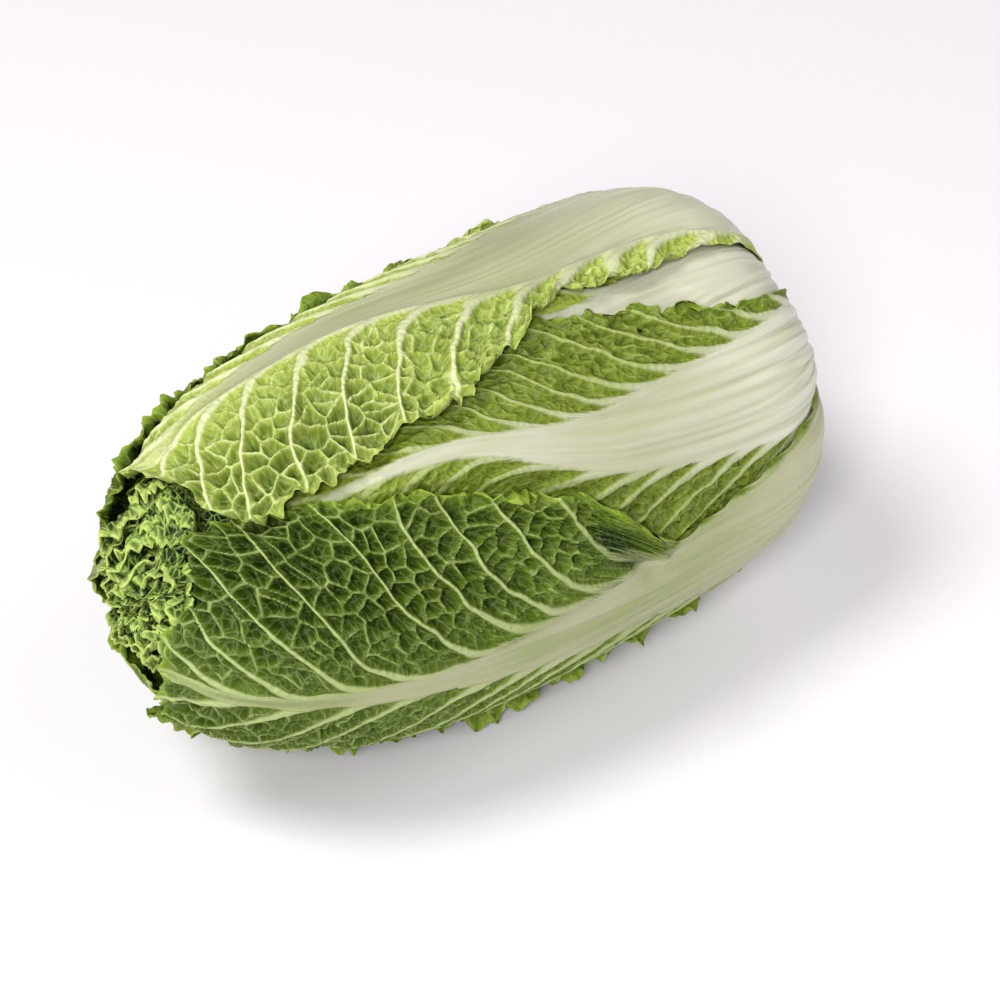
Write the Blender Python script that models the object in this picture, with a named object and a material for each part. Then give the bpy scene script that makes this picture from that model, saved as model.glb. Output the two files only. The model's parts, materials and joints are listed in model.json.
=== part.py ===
"""A napa cabbage as picked, lying on its side: nine leaves wrapped round a dense heart, and the cut stem.

The head lies along X, with the cut stem at +X and the crown of leaf tips at -X, and rests at z = 0.
Every surface is placed by three numbers: "along", the distance from the stem over the head's outside
to the crown; "angle", round the head from the top (0) over the front, -Y (90), to the underside (180);
and "height", measured outwards from the smooth envelope of the whole head. The leaves are laid from the
outermost inwards, and each one dips below the leaves that already cover it.
"""

import math
from dataclasses import dataclass

import bmesh
import bpy
import numpy as np

# Driving dimensions, in metres.
HEAD_RADIUS = 0.0805  # at x = 0; the head swells a little towards the crown
HEAD_SWELL = 0.65  # share of the radius gained for each metre towards the crown
STEM_HALF = 0.064  # from x = 0 to the stem's end
CROWN_HALF = 0.227  # from x = 0 to the crown's end
STEM_SQUARENESS = 2.9  # superellipse exponents: 2 is round, more is blunter
CROWN_SQUARENESS = 2.8
STEM_LIFT = 0.0055  # how far the head's axis bends up towards each end
CROWN_LIFT = 0.0070
STEM_RADIUS = 0.0195
STEM_DEPTH = 0.044
GROUND_PRESS = 0.0030  # how far the weight flattens the underside

BLADE_THICKNESS = 0.0011
RIB_THICKNESS = 0.0062  # of a midrib at its thickest, on top of the blade's
RIB_BULGE = 0.0024  # how much of that stands out on the outside
LEAF_GAP = 0.0014  # clear space kept between one leaf and the next
LEAF_BASE = 0.0225  # where the leaves start, along the head from the stem's centre
VEIN_RELIEF = 0.0014
TOOTH_DEPTH = 0.0026
FRILL_HEIGHT = 0.0040
FOLD_HEIGHT = 0.0070
FOLD_SPREAD = 0.045  # as a share of the leaf's length

RIDGE_RELIEF = 0.0006  # of the ridges along a midrib
COVER_MARGIN = 0.004  # how far beyond its margin a leaf keeps the ones below it down

GRID_STEP = 0.004  # of the map in which the leaves are laid
GRID_TURNS = 120
SPREAD_CELLS = 3

# Lines of points on one half of a leaf: 0 to 1 across the rib, and 1 to 2 across the blade.
FINE_HALF = (0.0, 0.35, 0.70, 1.0, 1.22, 1.5, 1.8, 2.0)
PLAIN_HALF = (0.0, 0.5, 1.0, 1.35, 1.7, 2.0)

HEART_LIE = -0.012  # the heart's height where no leaf covers it
HEART_ROWS = 20
HEART_TURNS = 24
CROWN_RINGS = (  # blades in the ring, distance from the crown's centre, width and rise, in metres
    (5, 0.0215, 0.034, 0.020),
    (4, 0.0150, 0.026, 0.022),
    (3, 0.0085, 0.018, 0.022),
    (1, 0.0030, 0.012, 0.020),
)
CROWN_CENTRE = (-0.006, 0.024)  # of its blades, from the head's own axis, in Y and Z
CROWN_ROOT = 0.007  # how deep a crown blade is sunk in the heart
CROWN_THICKNESS = 0.0011
CROWN_WAVE = 0.0026
CROWN_LEAN = 0.30  # how far a blade leans over the centre, as a share of its rise
CROWN_CUP = 0.10  # how far its sides stand out, as a share of its width

WHITE = (0.62, 0.66, 0.46)
GREEN = (0.20, 0.36, 0.045)
DEEP_GREEN = (0.10, 0.24, 0.03)


OUTLINE_STATIONS = (0, 0.08, 0.19, 0.30, 0.40, 0.48, 0.54, 0.62, 0.70, 0.85, 1.0)
COMMON_SIDE = (18, 27, 36, 44, 51, 56, 59, 64, 68, 62, 38)
RIB_STATIONS = (0, 0.1, 0.2, 0.3, 0.4, 0.5, 0.6, 0.7, 0.85, 1.0)
OUTER_RIB = (15, 24, 27, 24, 19, 14, 9, 5.5, 3, 1.2)
INNER_RIB = (14, 22, 24, 21, 16, 12, 8, 5, 2.5, 1.0)


@dataclass(frozen=True)
class Leaf:
    """One leaf. Its sides run from the rib's centreline to the margin, at OUTLINE_STATIONS."""

    name: str
    angles: tuple  # the rib's angle in degrees, at five even steps from the base to the tip
    tip: float  # along, at the end of the rib
    rib: tuple = INNER_RIB  # half its width in millimetres, at RIB_STATIONS
    upper: tuple = COMMON_SIDE  # millimetres, on the side of smaller angles
    lower: tuple = COMMON_SIDE  # millimetres, on the side of larger angles
    lie: float = 0.0  # height that the blade takes where nothing covers it
    rounding: float = 0.030  # how much further the leaf reaches at its rib than at its corners
    flare: float = 0.0  # how far its tip stands off the head
    rows: int = 18
    half: tuple = FINE_HALF
    fold: float = -1.0  # where along the leaf, from 0 to 1, a corner of the upper margin turns up


# From the outermost leaf inwards.
LEAVES = (
    Leaf(
        "outer_leaf_back", angles=(-106, -103, -101, -99, -97), tip=0.358, rib=OUTER_RIB,
        upper=COMMON_SIDE, lower=(18, 27, 38, 56, 72, 76, 78, 79, 77, 66, 38),
        rounding=0.022, flare=0.006, rows=30,
    ),
    Leaf(
        "outer_leaf_top", angles=(-16, -14, -8, -17, -20), tip=0.333,
        rib=(17, 29, 33, 32, 27, 19, 13, 9.5, 5, 1.5),
        upper=(20, 32, 40, 46, 50, 54, 57, 62, 66, 58, 36),
        lower=(22, 33, 42, 48, 43, 35, 41, 53, 64, 61, 34),
        flare=0.003, rows=32,
    ),
    Leaf(
        "outer_leaf_front", angles=(110, 109, 106, 101, 99), tip=0.372,
        rib=(16, 26, 28, 28, 25, 20, 14, 7.5, 3.5, 1.2),
        upper=(19, 26, 30, 32, 24, 49, 64, 66, 71, 68, 14),
        lower=(20, 30, 38, 45, 51, 56, 60, 66, 70, 66, 30),
        rounding=0.018, flare=0.014, rows=32, fold=0.45,
    ),
    Leaf(
        "second_leaf_under", angles=(181, 181, 181, 181, 181), tip=0.360, rib=OUTER_RIB,
        lie=-0.001, rounding=0.018, flare=0.013, rows=26,
    ),
    Leaf(
        "second_leaf_front", angles=(64, 62, 54.5, 37, 32), tip=0.330,
        rib=(13, 21, 23, 20.5, 17, 12.5, 8.5, 4, 2, 1.0),
        upper=(15, 22, 32, 41, 49, 54, 57, 61, 64, 58, 34),
        lower=(16, 24, 33, 42, 49, 54, 57, 61, 64, 58, 34),
        lie=-0.003, rows=30,
    ),
    Leaf("third_leaf_back", angles=(-56, -54, -52, -50, -48), tip=0.334, lie=-0.004, half=PLAIN_HALF),
    Leaf("third_leaf_top", angles=(28, 27, 25, 20, 16), tip=0.328, lie=-0.005, half=PLAIN_HALF, rows=22),
    Leaf("third_leaf_front", angles=(146, 144, 142, 140, 138), tip=0.338, lie=-0.005, half=PLAIN_HALF),
    Leaf("third_leaf_under", angles=(-144, -142, -140, -137, -134), tip=0.338, lie=-0.005, half=PLAIN_HALF),
)


def curve(stations, values, at):
    """A smooth line through the points (stations, values), with no overshoot, read at any stations."""
    x, y, at = np.asarray(stations, float), np.asarray(values, float), np.asarray(at, float)
    chords = np.diff(y) / np.diff(x)
    before, after = chords[:-1], chords[1:]
    same_way = before * after > 0
    inner = np.where(same_way, 2 * before * after / np.where(same_way, before + after, 1), 0)
    slopes = np.concatenate([chords[:1], inner, chords[-1:]])
    at = np.clip(at, x[0], x[-1])
    i = np.clip(np.searchsorted(x, at, side="right") - 1, 0, len(x) - 2)
    width = x[i + 1] - x[i]
    u = (at - x[i]) / width
    return (
        y[i] * (1 + 2 * u) * (1 - u) ** 2
        + slopes[i] * width * u * (1 - u) ** 2
        + y[i + 1] * u * u * (3 - 2 * u)
        + slopes[i + 1] * width * u * u * (u - 1)
    )


def smoothstep(low, high, value):
    u = np.clip((value - low) / (high - low), 0, 1)
    return u * u * (3 - 2 * u)


def make_envelope():
    """The head's outline, turned round X: along, x, radius and the outward normal's x and radial parts."""
    turn = np.linspace(0, math.pi, 2001)
    half = np.where(turn < math.pi / 2, STEM_HALF, CROWN_HALF)
    power = 2 / np.where(turn < math.pi / 2, STEM_SQUARENESS, CROWN_SQUARENESS)
    x = half * np.sign(np.cos(turn)) * np.abs(np.cos(turn)) ** power
    radius = HEAD_RADIUS * np.abs(np.sin(turn)) ** power * (1 - HEAD_SWELL * x)
    radius[[0, -1]] = 0
    along = np.concatenate([[0], np.cumsum(np.hypot(np.diff(x), np.diff(radius)))])
    even = np.linspace(0, along[-1], 400)
    x, radius = np.interp(even, along, x), np.interp(even, along, radius)
    dx, dr = np.gradient(x), np.gradient(radius)
    length = np.hypot(dx, dr)
    return even, x, radius, dr / length, -dx / length


ENVELOPE = make_envelope()
HEAD_ALONG = ENVELOPE[0][-1]


def head_x(along):
    return np.interp(along, ENVELOPE[0], ENVELOPE[1])


def head_radius(along):
    return np.interp(along, ENVELOPE[0], ENVELOPE[2])


def place(along, angle, height):
    """World points of (along, angle in degrees, height), as an array whose last axis is x, y, z."""
    x, radius, normal_x, normal_r = (np.interp(along, ENVELOPE[0], line) for line in ENVELOPE[1:])
    x = x + height * normal_x
    radius = radius + height * normal_r
    turn = np.radians(angle)
    lift = np.where(x > 0, STEM_LIFT * (x / STEM_HALF) ** 2, CROWN_LIFT * np.abs(x / CROWN_HALF) ** 3)
    return np.stack([x, -radius * np.sin(turn), radius * np.cos(turn) + lift], axis=-1)


# The map in which the leaves are laid: rows run along the head, columns round it.
MAP_ALONG = np.arange(0, HEAD_ALONG + GRID_STEP, GRID_STEP)
MAP_ANGLE = np.arange(GRID_TURNS) * (360 / GRID_TURNS)


def moved(field, rows, columns):
    """The map's field, moved by whole cells: round the head it wraps, and along it the ends repeat."""
    index = np.clip(np.arange(len(field)) + rows, 0, len(field) - 1)
    return np.roll(field[index], columns, axis=1)


def disc(cells):
    span = range(-cells, cells + 1)
    return [(i, j) for i in span for j in span if i * i + j * j <= cells * cells + 1]


def settled(field):
    """A smooth field that is nowhere above the given one."""
    lowest = np.min([moved(field, i, j) for i, j in disc(SPREAD_CELLS)], axis=0)
    return np.mean([moved(lowest, i, j) for i, j in disc(SPREAD_CELLS - 1)], axis=0)


def read_map(field, along, angle):
    """The field between the map's points."""
    row = np.clip(along / GRID_STEP, 0, len(MAP_ALONG) - 1.001)
    column = np.mod(angle, 360) / 360 * GRID_TURNS
    i, j = np.floor(row).astype(int), np.floor(column).astype(int)
    u, v = row - i, column - j
    j, k = j % GRID_TURNS, (j + 1) % GRID_TURNS
    return (field[i, j] * (1 - v) + field[i, k] * v) * (1 - u) + (
        field[i + 1, j] * (1 - v) + field[i + 1, k] * v
    ) * u


def leaf_share(leaf, along):
    """0 at the leaf's base and 1 at its tip."""
    return (along - LEAF_BASE) / (leaf.tip - LEAF_BASE)


def rib_angle(leaf, along):
    return curve((0, 0.25, 0.5, 0.75, 1), leaf.angles, leaf_share(leaf, along))


def rib_half_width(leaf, along):
    return 0.001 * curve(RIB_STATIONS, leaf.rib, leaf_share(leaf, along))


def side_width(leaf, along, side):
    """From the rib's centreline to the margin: side is -1 for the upper side and 1 for the lower one."""
    share = leaf_share(leaf, along)
    upper = curve(OUTLINE_STATIONS, leaf.upper, share)
    lower = curve(OUTLINE_STATIONS, leaf.lower, share)
    width = 0.001 * np.where(side < 0, upper, lower)
    return np.maximum(width, rib_half_width(leaf, along) + 0.0015)


def tip_droop(leaf, across, width):
    return leaf.rounding * np.clip(np.abs(across) / width, 0, 1) ** 2.4


def vein_sweep(beyond_rib):
    """How far a side vein has run towards the tip when it is this far from the rib."""
    beyond = np.maximum(beyond_rib, 0)
    return 0.016 * (1 - np.exp(-beyond / 0.010)) + 0.50 * beyond


def thickness(leaf, along, across):
    """The leaf's thickness, and the share of it that is rib, from 0 to 1."""
    share = leaf_share(leaf, along)
    fleshy = curve((0, 0.12, 0.35, 0.6, 0.8, 1), (0.75, 1.0, 0.85, 0.4, 0.15, 0.05), share)
    section = np.clip(1 - (across / rib_half_width(leaf, along)) ** 2, 0, 1)
    rib = fleshy * section
    return BLADE_THICKNESS + RIB_THICKNESS * rib, rib


def leaf_points(leaf, rows, columns):
    """(along, across) of the leaf's grid. rows go from 0 at the base to 1 at the tip, and columns from
    -2 at the upper margin over -1 and 1, the rib's edges, to 2 at the lower margin. The rows sweep towards
    the tip as the side veins do."""
    row, column = np.meshgrid(rows, columns, indexing="ij")
    side = np.where(column < 0, -1, 1)
    sweep_share = smoothstep(0.05, 0.25, row) * (1 - smoothstep(0.5, 1.0, row))
    along = LEAF_BASE + row * (leaf.tip - LEAF_BASE)
    across = np.zeros_like(along)
    for _ in range(30):
        rib = rib_half_width(leaf, along)
        width = side_width(leaf, along, side)
        in_rib, in_blade = np.clip(np.abs(column), 0, 1), np.clip(np.abs(column) - 1, 0, 1)
        across = side * (in_rib * rib + in_blade * (width - rib))
        wanted = (
            LEAF_BASE
            + row * (leaf.tip - LEAF_BASE)
            + sweep_share * vein_sweep(np.abs(across) - rib)
            - tip_droop(leaf, across, width) * row**4
        )
        along = 0.5 * along + 0.5 * wanted
    return along, across


def to_angle(leaf, along, across):
    """The angle round the head of a point that lies this far across from the rib."""
    return rib_angle(leaf, along) + np.degrees(across / np.maximum(head_radius(along), 0.012))


def leaf_cover(leaf):
    """Where the leaf lies on the map, and how far across from its rib each of the map's points is."""
    along, angle = np.meshgrid(MAP_ALONG, MAP_ANGLE, indexing="ij")
    turn = np.mod(angle - rib_angle(leaf, along) + 180, 360) - 180
    across = np.radians(turn) * np.maximum(head_radius(along), 0.012)
    width = side_width(leaf, along, np.sign(across))
    inside = (np.abs(across) <= width + COVER_MARGIN) & (along >= LEAF_BASE - COVER_MARGIN)
    return inside & (along <= leaf.tip - tip_droop(leaf, across, width) + COVER_MARGIN), along, across


def lay_leaf(leaf, ceiling):
    """Returns the heights that the leaf's outside may take, and the ceiling left for the next leaf in."""
    allowed = settled(np.minimum(ceiling - LEAF_GAP, leaf.lie + 0.006))
    inside, along, across = leaf_cover(leaf)
    thick, rib = thickness(leaf, along, across)
    outside = np.minimum(leaf.lie + RIB_BULGE * rib, allowed)
    under = np.where(inside, outside - thick, np.inf)
    return allowed, np.minimum(ceiling, under)


def grid_triangles(rows, columns):
    """Two triangles for each cell of a grid of points."""
    faces = []
    for i in range(rows - 1):
        for j in range(columns - 1):
            a = i * columns + j
            faces += [(a, a + 1, a + columns + 1), (a, a + columns + 1, a + columns)]
    return faces


def shell_faces(rows, columns):
    """Triangles of a closed shell between two grids: the outside's points first, and then the inside's,
    split alike on both faces."""
    count = rows * columns
    top = grid_triangles(rows, columns)
    bottom = [(a + count, c + count, b + count) for a, b, c in top]
    ring = (
        list(range(columns))
        + [i * columns + columns - 1 for i in range(1, rows)]
        + [(rows - 1) * columns + j for j in range(columns - 2, -1, -1)]
        + [i * columns for i in range(rows - 2, 0, -1)]
    )
    rim = []
    for a, b in zip(ring, ring[1:] + ring[:1]):
        rim += [(a, a + count, b + count), (a, b + count, b)]
    return top + bottom + rim


def make_object(name, points, faces, materials, material_of=None):
    """A named solid of these triangles, with its faces turned outwards."""
    mesh = bpy.data.meshes.new(name)
    mesh.from_pydata([tuple(map(float, p)) for p in points], [], faces)
    for material in materials:
        mesh.materials.append(material)
    if material_of is not None:
        mesh.polygons.foreach_set("material_index", material_of)
    shape = bmesh.new()
    shape.from_mesh(mesh)
    bmesh.ops.recalc_face_normals(shape, faces=shape.faces)
    shape.to_mesh(mesh)
    shape.free()
    mesh.shade_smooth()
    mesh.set_sharp_from_angle(angle=math.radians(50))
    made = bpy.data.objects.new(name, mesh)
    bpy.context.scene.collection.objects.link(made)
    return made


def make_material(name, colour, roughness):
    material = bpy.data.materials.new(name)
    material.use_nodes = True
    shader = material.node_tree.nodes["Principled BSDF"]
    shader.inputs["Base Color"].default_value = (*colour, 1)
    shader.inputs["Roughness"].default_value = roughness
    shader.inputs["Metallic"].default_value = 0
    return material


def make_leaf(leaf, allowed, materials):
    """A thin shell that follows the head, with its rib, raised side veins and a frilled, toothed margin."""
    rows = np.linspace(0, 1, leaf.rows + 1)
    columns = np.array([-c for c in reversed(leaf.half[1:])] + list(leaf.half))
    along, across = leaf_points(leaf, rows, columns)
    rib_half = rib_half_width(leaf, along)
    number, column = np.meshgrid(np.arange(len(rows)), columns, indexing="ij")

    # Every second row is a side vein; between them the margin is cut back to a tooth.
    in_vein = np.where(number % 2 == 0, 1.0, 0.0)
    at_margin = np.clip(np.abs(column) - 1, 0, 1) ** 3
    bladed = smoothstep(0.008, 0.020, np.abs(across) - rib_half)
    across = across - np.sign(across) * TOOTH_DEPTH * (1 - in_vein) * at_margin * bladed
    angle = to_angle(leaf, along, across)

    thick, rib = thickness(leaf, along, across)
    frill = FRILL_HEIGHT * at_margin * bladed * (0.5 + 0.5 * np.cos(number * math.pi / 2 + column))
    ridge = RIDGE_RELIEF * np.cos(column * math.pi / 0.35) * rib
    flare = leaf.flare * np.clip((leaf_share(leaf, along) - 0.78) / 0.22, 0, 1) ** 1.6
    corner = np.exp(-(((leaf_share(leaf, along) - leaf.fold) / FOLD_SPREAD) ** 2)) * (column < -1)
    height = leaf.lie + RIB_BULGE * rib + ridge + VEIN_RELIEF * in_vein * bladed + frill + flare
    height += FOLD_HEIGHT * corner * at_margin
    height = np.minimum(height, read_map(allowed, along, angle))
    outside = place(along, angle, height).reshape(-1, 3)
    inside = place(along, angle, height - thick).reshape(-1, 3)

    faces = shell_faces(len(rows), len(columns))
    flat_column = np.abs(np.tile(column.reshape(-1), 2))
    in_blade = [int(max(flat_column[v] for v in face) > 1.01) for face in faces]
    return make_object(leaf.name, np.concatenate([outside, inside]), faces, materials, in_blade)


def ball_faces(rows, columns):
    """Triangles of a closed ball: a point at each end, and rows of points between them that go round."""
    last = 1 + rows * columns
    faces = []
    for j in range(columns):
        k = (j + 1) % columns
        faces.append((0, 1 + k, 1 + j))
        faces.append((last, last - columns + j, last - columns + k))
        for i in range(rows - 1):
            a, b = 1 + i * columns + j, 1 + i * columns + k
            faces += [(a, b, b + columns), (a, b + columns, a + columns)]
    return faces


def crown_blade(number, turn, distance, width, rise, columns=8, rows=4):
    """One leaf tip of the heart: a curled sheet that stands on the crown and leans over its centre."""
    across, up = np.meshgrid(np.linspace(-1, 1, columns), np.linspace(0, 1, rows + 1), indexing="xy")
    rounded = 1 - 0.35 * across**2
    climb = -CROWN_ROOT + (rise + CROWN_ROOT) * up * rounded
    wave = CROWN_WAVE * up**2 * np.sin(across * (5.0 + number % 3) + 1.7 * number)
    lean = CROWN_LEAN * rise * up**2
    radial = distance + CROWN_CUP * width * across**2 - lean + wave
    tangent = 0.5 * width * across * (1 - 0.15 * up)
    sides = []
    for half in (0.5, -0.5):
        out = radial + half * CROWN_THICKNESS
        y = out * math.cos(turn) - tangent * math.sin(turn)
        z = out * math.sin(turn) + tangent * math.cos(turn)
        y, z = y + CROWN_CENTRE[0], z + CROWN_CENTRE[1]
        base = head_x(HEAD_ALONG - np.hypot(y, z - CROWN_LIFT)) - HEART_LIE
        sides.append(np.stack([base - climb, y, z], axis=-1).reshape(-1, 3))
    return np.concatenate(sides), shell_faces(rows + 1, columns)


def make_heart(ceiling, materials):
    """The dense middle of the head, with the curled tips of its leaves in the crown."""
    along = np.linspace(0, HEAD_ALONG, HEART_ROWS + 2)[1:-1]
    angle = np.arange(HEART_TURNS) * (360 / HEART_TURNS)
    rows, turns = np.meshgrid(along, angle, indexing="ij")
    over_stem = np.where(MAP_ALONG[:, None] < LEAF_BASE, -STEM_DEPTH - LEAF_GAP, np.inf)
    limit = settled(np.minimum(np.minimum(ceiling, over_stem) - LEAF_GAP, HEART_LIE))
    height = read_map(limit, rows, turns)
    ends = [place(end, 0, read_map(limit, np.array(end), np.array(0))) for end in (0, HEAD_ALONG)]
    points = np.concatenate([[ends[0]], place(rows, turns, height).reshape(-1, 3), [ends[1]]])
    heart = make_object("heart", points, ball_faces(*rows.shape), materials, None)

    blades = bpy.data.collections.new("crown_blades")
    bpy.context.scene.collection.children.link(blades)
    number = 0
    for count, distance, width, rise in CROWN_RINGS:
        for i in range(count):
            turn = math.tau * (i / count + 0.37 * number)
            blade_points, faces = crown_blade(number, turn, distance, width, rise)
            blade = make_object("crown_blade", blade_points, faces, materials, None)
            bpy.context.scene.collection.objects.unlink(blade)
            blades.objects.link(blade)
        number += 1
    union = heart.modifiers.new("crown", "BOOLEAN")
    union.operand_type = "COLLECTION"
    union.collection = blades
    union.operation = "UNION"
    union.solver = "EXACT"
    apply_modifiers(heart)
    for blade in list(blades.objects):
        bpy.data.objects.remove(blade)
    bpy.data.collections.remove(blades)
    return heart


def apply_modifiers(target):
    graph = bpy.context.evaluated_depsgraph_get()
    mesh = bpy.data.meshes.new_from_object(target.evaluated_get(graph))
    target.modifiers.clear()
    target.data = mesh


def make_stem(materials):
    """The cut end of the stem: a plug that narrows inwards, with a slightly domed face."""
    turns = 28
    steps = (  # along X from the end, and the radius there
        (0.0, STEM_RADIUS * 0.55),
        (-0.0008, STEM_RADIUS * 0.93),
        (-0.0022, STEM_RADIUS),
        (-0.014, STEM_RADIUS * 0.98),
        (-STEM_DEPTH, STEM_RADIUS * 0.62),
    )
    end = STEM_HALF + 0.001
    angle = np.arange(turns) * (math.tau / turns)
    rings = [
        np.stack(
            [np.full(turns, end + x), -r * np.sin(angle), r * np.cos(angle) + STEM_LIFT], axis=-1
        )
        for x, r in steps
    ]
    centre = [[end + 0.0003, 0, STEM_LIFT]]
    inner = [[end - STEM_DEPTH, 0, STEM_LIFT]]
    points = np.concatenate([centre, *rings, inner])
    return make_object("stem", points, ball_faces(len(steps), turns), materials, None)


def flatten_underside(pieces):
    """The weight presses the lowest leaf flat against what the head lies on."""
    lowest = min(vertex.co.z for piece in pieces for vertex in piece.data.vertices)
    for piece in pieces:
        for vertex in piece.data.vertices:
            vertex.co.z = max(vertex.co.z, lowest + GROUND_PRESS)


def stand_on_origin(pieces):
    """Moves everything so that the middle of the underside of the whole head's box is the origin."""
    corners = np.array([vertex.co for piece in pieces for vertex in piece.data.vertices])
    low, high = corners.min(axis=0), corners.max(axis=0)
    shift = np.array([(low[0] + high[0]) / 2, (low[1] + high[1]) / 2, low[2]])
    for piece in pieces:
        for vertex in piece.data.vertices:
            vertex.co = np.array(vertex.co) - shift


def main():
    for old in list(bpy.data.objects):
        bpy.data.objects.remove(old)
    white = make_material("rib_white", WHITE, 0.35)
    green = make_material("blade_green", GREEN, 0.5)
    deep_green = make_material("heart_green", DEEP_GREEN, 0.5)
    ceiling = np.full((len(MAP_ALONG), GRID_TURNS), np.inf)
    pieces = []
    for leaf in LEAVES:
        allowed, ceiling = lay_leaf(leaf, ceiling)
        pieces.append(make_leaf(leaf, allowed, (white, green)))
    pieces.append(make_heart(ceiling, (deep_green,)))
    pieces.append(make_stem((white,)))
    flatten_underside(pieces)
    stand_on_origin(pieces)


main()
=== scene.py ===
"""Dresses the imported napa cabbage: fine leaves with ribs, veins and blisters, the crown and the stem.

Each leaf is laid as its solid is. A point on it has three numbers: "along", the distance from the stem
over the head's outside to the crown; "across", from the leaf's rib; and "height", outwards from the
smooth envelope of the head. Lengths are in metres.
"""

import json
import math
from dataclasses import dataclass
from types import SimpleNamespace

import bpy
import numpy as np
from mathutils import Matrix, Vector

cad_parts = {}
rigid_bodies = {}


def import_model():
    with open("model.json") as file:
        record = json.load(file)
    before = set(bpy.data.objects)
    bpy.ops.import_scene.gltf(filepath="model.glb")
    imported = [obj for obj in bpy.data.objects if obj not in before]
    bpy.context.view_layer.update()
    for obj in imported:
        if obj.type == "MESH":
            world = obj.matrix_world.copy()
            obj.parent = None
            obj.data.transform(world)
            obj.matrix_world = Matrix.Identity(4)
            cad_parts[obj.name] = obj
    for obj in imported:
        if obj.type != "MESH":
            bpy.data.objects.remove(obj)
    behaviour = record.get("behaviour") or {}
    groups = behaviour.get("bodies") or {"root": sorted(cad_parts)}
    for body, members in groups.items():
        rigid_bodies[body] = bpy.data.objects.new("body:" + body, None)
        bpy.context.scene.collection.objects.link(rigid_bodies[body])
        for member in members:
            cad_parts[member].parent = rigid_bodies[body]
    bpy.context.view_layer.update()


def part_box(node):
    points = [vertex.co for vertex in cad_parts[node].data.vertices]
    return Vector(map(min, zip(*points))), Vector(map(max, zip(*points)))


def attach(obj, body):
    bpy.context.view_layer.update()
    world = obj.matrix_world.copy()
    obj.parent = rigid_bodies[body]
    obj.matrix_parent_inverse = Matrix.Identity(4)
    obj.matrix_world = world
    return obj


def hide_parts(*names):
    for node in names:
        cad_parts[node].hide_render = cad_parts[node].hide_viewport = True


# The head, as in the solids.
HEAD_RADIUS = 0.0805
HEAD_SWELL = 0.65
STEM_HALF = 0.064
CROWN_HALF = 0.227
STEM_SQUARENESS = 2.9
CROWN_SQUARENESS = 2.8
STEM_LIFT = 0.0055
CROWN_LIFT = 0.007
STEM_END = 0.0013  # how far the stem's middle stands out of the head's end
STEM_FACE = 0.0223  # radius of the stem's visible end
LEAF_BASE = 0.0225
RIB_BULGE = 0.0024
RIB_DEPTH = 0.0006  # of the visible leaf at its rib, on top of the blade's thickness
BASE_DEPTH = 0.0024  # and what the rib gains at the stem
BLADE = 0.0008
LEAF_GAP = 0.0002
FOLD_HEIGHT = 0.007  # of the front leaf's turned-up corner
ROLL_RADIUS = 0.0026  # of the margins' outward roll
INSIDE_LIE = -0.012  # height of the heart's body
INSIDE_START = 0.012  # and where it starts along the head

MAP_STEP = 0.002
MAP_TURNS = 256
SPREAD_CELLS = 3

# The relief of a blade.
LEAVE_RUN = 0.01  # how far a side vein runs along the rib before it turns away
LEAVE_OVER = 0.004
VEIN_SPACING = 0.0195  # along the head, between side veins
NET_HALF = 0.00065  # half width of the coarse net's lines
FINE_HALF = 0.00045
GROOVE_SPACING = 0.0058  # between the grooves along a rib
RIB_RUN = 0.24  # how far a side vein can be followed down inside the rib, as a ridge
FINE_CELLS = 2.4  # of the fine net, along each side of a cell of the coarse one
VALLEY_DEPTH = 0.0009  # between side veins
CELL_DEPTH = 0.0032
FINE_DEPTH = 0.0007

OUTLINE_STATIONS = (0, 0.08, 0.19, 0.3, 0.4, 0.48, 0.54, 0.62, 0.7, 0.85, 1.0)
COMMON_SIDE = (18, 27, 36, 44, 51, 56, 59, 64, 68, 62, 38)
RIB_STATIONS = (0, 0.1, 0.2, 0.3, 0.4, 0.5, 0.6, 0.7, 0.85, 1.0)
OUTER_RIB = (15, 24, 27, 24, 19, 14, 9, 5.5, 3, 1.2)
INNER_RIB = (14, 22, 24, 21, 16, 12, 8, 5, 2.5, 1.0)


@dataclass(frozen=True)
class Leaf:
    """One leaf. Pairs hold the upper side, of smaller angles, and then the lower one."""

    name: str
    angles: tuple  # the rib's angle in degrees, at five even steps from the base to the tip
    tip: float  # along, at the end of the rib
    rib: tuple = (INNER_RIB, INNER_RIB)  # millimetres from the centreline, at RIB_STATIONS
    sides: tuple = (COMMON_SIDE, COMMON_SIDE)  # millimetres from the centreline, at OUTLINE_STATIONS
    lie: float = 0.0
    rounding: tuple = (0.03, 0.03)  # how far the tip's corners are drawn back
    flare: float = 0.0
    size: tuple = (300, 100)  # rows and columns of points, both even
    starts: tuple = ()  # where side veins leave the rib, in millimetres along
    sweep: tuple = (0.85, 0.85)  # how far side veins run on for each step away from the rib
    turn: tuple = (4.0, 4.0)  # how much they straighten towards the margin
    stout: float = 1.0  # the side veins' thickness
    crinkle: float = 1.0
    frill: tuple = (1.0, 1.0)
    lift: tuple = (-1.0, -1.0)  # millimetres by which the margins stand off near the stem
    skew: float = 0.0  # above 0, the lower side has the finer points
    cell: float = 0.0085  # of the net between the side veins
    white: float = 0.013  # how far beyond the rib the side veins are as white as it
    pale: float = 0.01  # how far beyond the rib the blade is young and light
    ridged: float = 1.0
    ripe: tuple = (0.08, 0.38)  # between these shares of its length the blade turns dark and crinkled
    fold: float = -1.0
    look: str = "green"


TOP_STARTS = (26, 47, 68, 88, 108, 128, 150, 169, 190, 210, 232, 255, 279, 298, 318, 338, 358)
FRONT_STARTS = (30, 52, 73, 94, 114, 134, 155, 175, 196, 214, 230, 251, 281, 302, 325, 346, 368, 390)
SECOND_STARTS = (28, 50, 70, 88, 106, 122, 140, 158, 172, 190, 210, 230, 252, 274, 296, 318, 340)

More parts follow.
